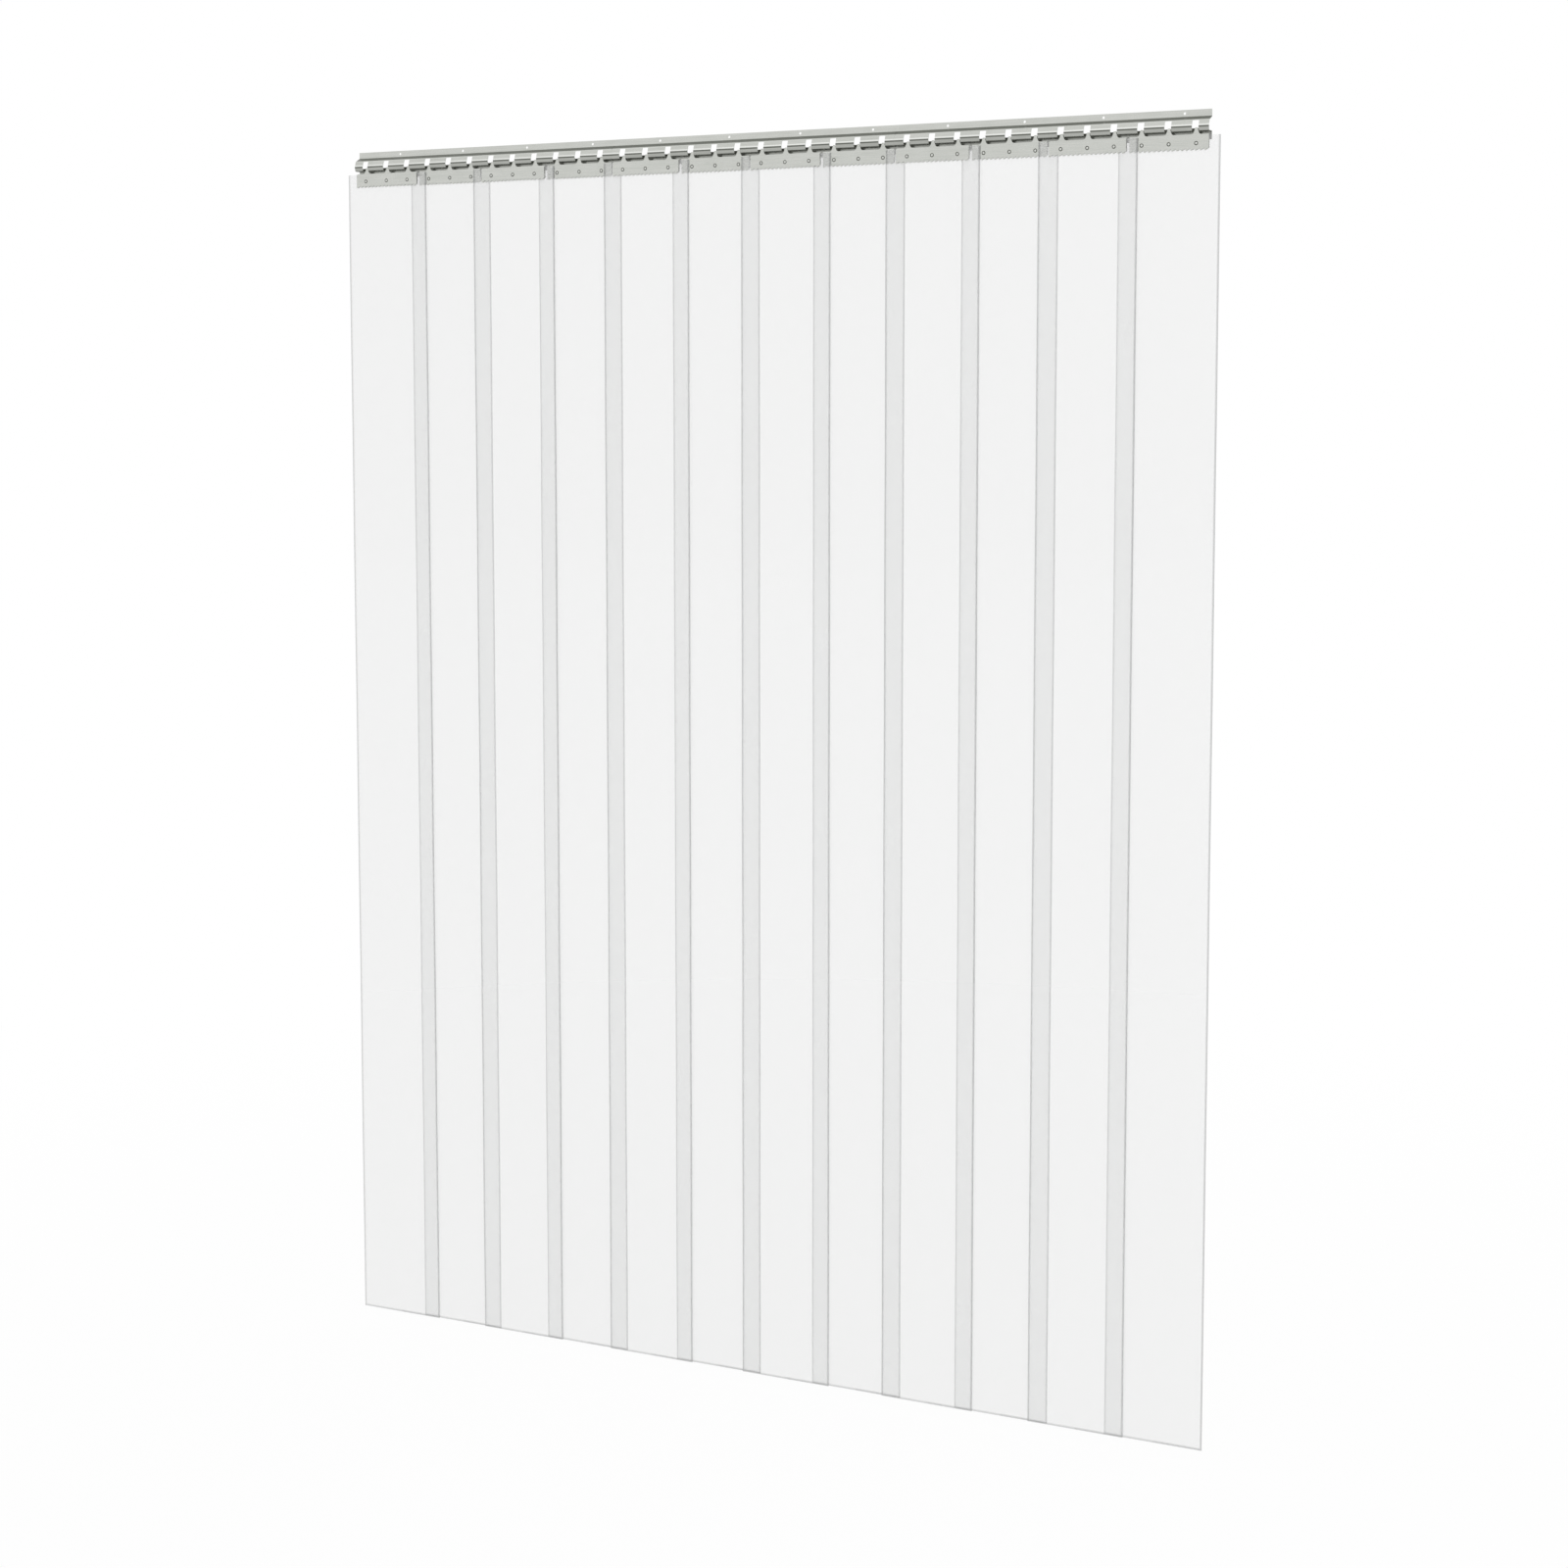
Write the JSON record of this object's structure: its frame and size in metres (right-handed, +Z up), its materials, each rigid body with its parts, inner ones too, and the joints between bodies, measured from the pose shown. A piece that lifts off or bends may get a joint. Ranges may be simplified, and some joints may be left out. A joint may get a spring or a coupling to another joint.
{
  "type": "pvc strip curtain",
  "caption": "Doorway curtain of overlapping clear PVC strips, each clamped between steel plates whose claws hook into a slotted wall rail.",
  "frame": {"origin": "on the wall face of the rail's flange, at half the flange's height and half the curtain's width", "axes": "+Z up, +Y into the wall, so the curtain's front looks along -Y; +X along the rail, to the right when facing the front"},
  "size_m": [1.96, 0.0194, 2.5481],
  "materials": {
    "rail_steel": "satin",
    "plate_steel": "satin",
    "clear_pvc": "gloss"
  },
  "bodies": {
    "rail": {"rail_section_1": "rail_steel", "rail_section_2": "rail_steel", "rail_section_3": "rail_steel"},
    "hanger_01": {"claw_plate_01": "plate_steel", "strip_01": "clear_pvc", "cover_plate_01": "plate_steel"},
    "hanger_02": {"claw_plate_02": "plate_steel", "strip_02": "clear_pvc", "cover_plate_02": "plate_steel"},
    "hanger_03": {"claw_plate_03": "plate_steel", "strip_03": "clear_pvc", "cover_plate_03": "plate_steel"},
    "hanger_04": {"claw_plate_04": "plate_steel", "strip_04": "clear_pvc", "cover_plate_04": "plate_steel"},
    "hanger_05": {"claw_plate_05": "plate_steel", "strip_05": "clear_pvc", "cover_plate_05": "plate_steel"},
    "hanger_06": {"claw_plate_06": "plate_steel", "strip_06": "clear_pvc", "cover_plate_06": "plate_steel"},
    "hanger_07": {"claw_plate_07": "plate_steel", "strip_07": "clear_pvc", "cover_plate_07": "plate_steel"},
    "hanger_08": {"claw_plate_08": "plate_steel", "strip_08": "clear_pvc", "cover_plate_08": "plate_steel"},
    "hanger_09": {"claw_plate_09": "plate_steel", "strip_09": "clear_pvc", "cover_plate_09": "plate_steel"},
    "hanger_10": {"claw_plate_10": "plate_steel", "strip_10": "clear_pvc", "cover_plate_10": "plate_steel"},
    "hanger_11": {"claw_plate_11": "plate_steel", "strip_11": "clear_pvc", "cover_plate_11": "plate_steel"},
    "hanger_12": {"claw_plate_12": "plate_steel", "strip_12": "clear_pvc", "cover_plate_12": "plate_steel"}
  },
  "joints": [
    {"name": "swing_01", "type": "hinge", "parent": "rail", "child": "hanger_01", "pos_m": [-0.88, -0.009, -0.0302], "axis": [-1, 0, 0], "range_deg": [0, 35]},
    {"name": "swing_02", "type": "hinge", "parent": "rail", "child": "hanger_02", "pos_m": [-0.72, -0.009, -0.0302], "axis": [-1, 0, 0], "range_deg": [-15, 0]},
    {"name": "swing_03", "type": "hinge", "parent": "rail", "child": "hanger_03", "pos_m": [-0.56, -0.009, -0.0302], "axis": [-1, 0, 0], "range_deg": [0, 35]},
    {"name": "swing_04", "type": "hinge", "parent": "rail", "child": "hanger_04", "pos_m": [-0.4, -0.009, -0.0302], "axis": [-1, 0, 0], "range_deg": [-15, 0]},
    {"name": "swing_05", "type": "hinge", "parent": "rail", "child": "hanger_05", "pos_m": [-0.24, -0.009, -0.0302], "axis": [-1, 0, 0], "range_deg": [0, 35]},
    {"name": "swing_06", "type": "hinge", "parent": "rail", "child": "hanger_06", "pos_m": [-0.08, -0.009, -0.0302], "axis": [-1, 0, 0], "range_deg": [-15, 0]},
    {"name": "swing_07", "type": "hinge", "parent": "rail", "child": "hanger_07", "pos_m": [0.08, -0.009, -0.0302], "axis": [-1, 0, 0], "range_deg": [0, 35]},
    {"name": "swing_08", "type": "hinge", "parent": "rail", "child": "hanger_08", "pos_m": [0.24, -0.009, -0.0302], "axis": [-1, 0, 0], "range_deg": [-15, 0]},
    {"name": "swing_09", "type": "hinge", "parent": "rail", "child": "hanger_09", "pos_m": [0.4, -0.009, -0.0302], "axis": [-1, 0, 0], "range_deg": [0, 35]},
    {"name": "swing_10", "type": "hinge", "parent": "rail", "child": "hanger_10", "pos_m": [0.56, -0.009, -0.0302], "axis": [-1, 0, 0], "range_deg": [-15, 0]},
    {"name": "swing_11", "type": "hinge", "parent": "rail", "child": "hanger_11", "pos_m": [0.72, -0.009, -0.0302], "axis": [-1, 0, 0], "range_deg": [0, 35]},
    {"name": "swing_12", "type": "hinge", "parent": "rail", "child": "hanger_12", "pos_m": [0.88, -0.009, -0.0302], "axis": [-1, 0, 0], "range_deg": [-15, 0]}
  ]
}
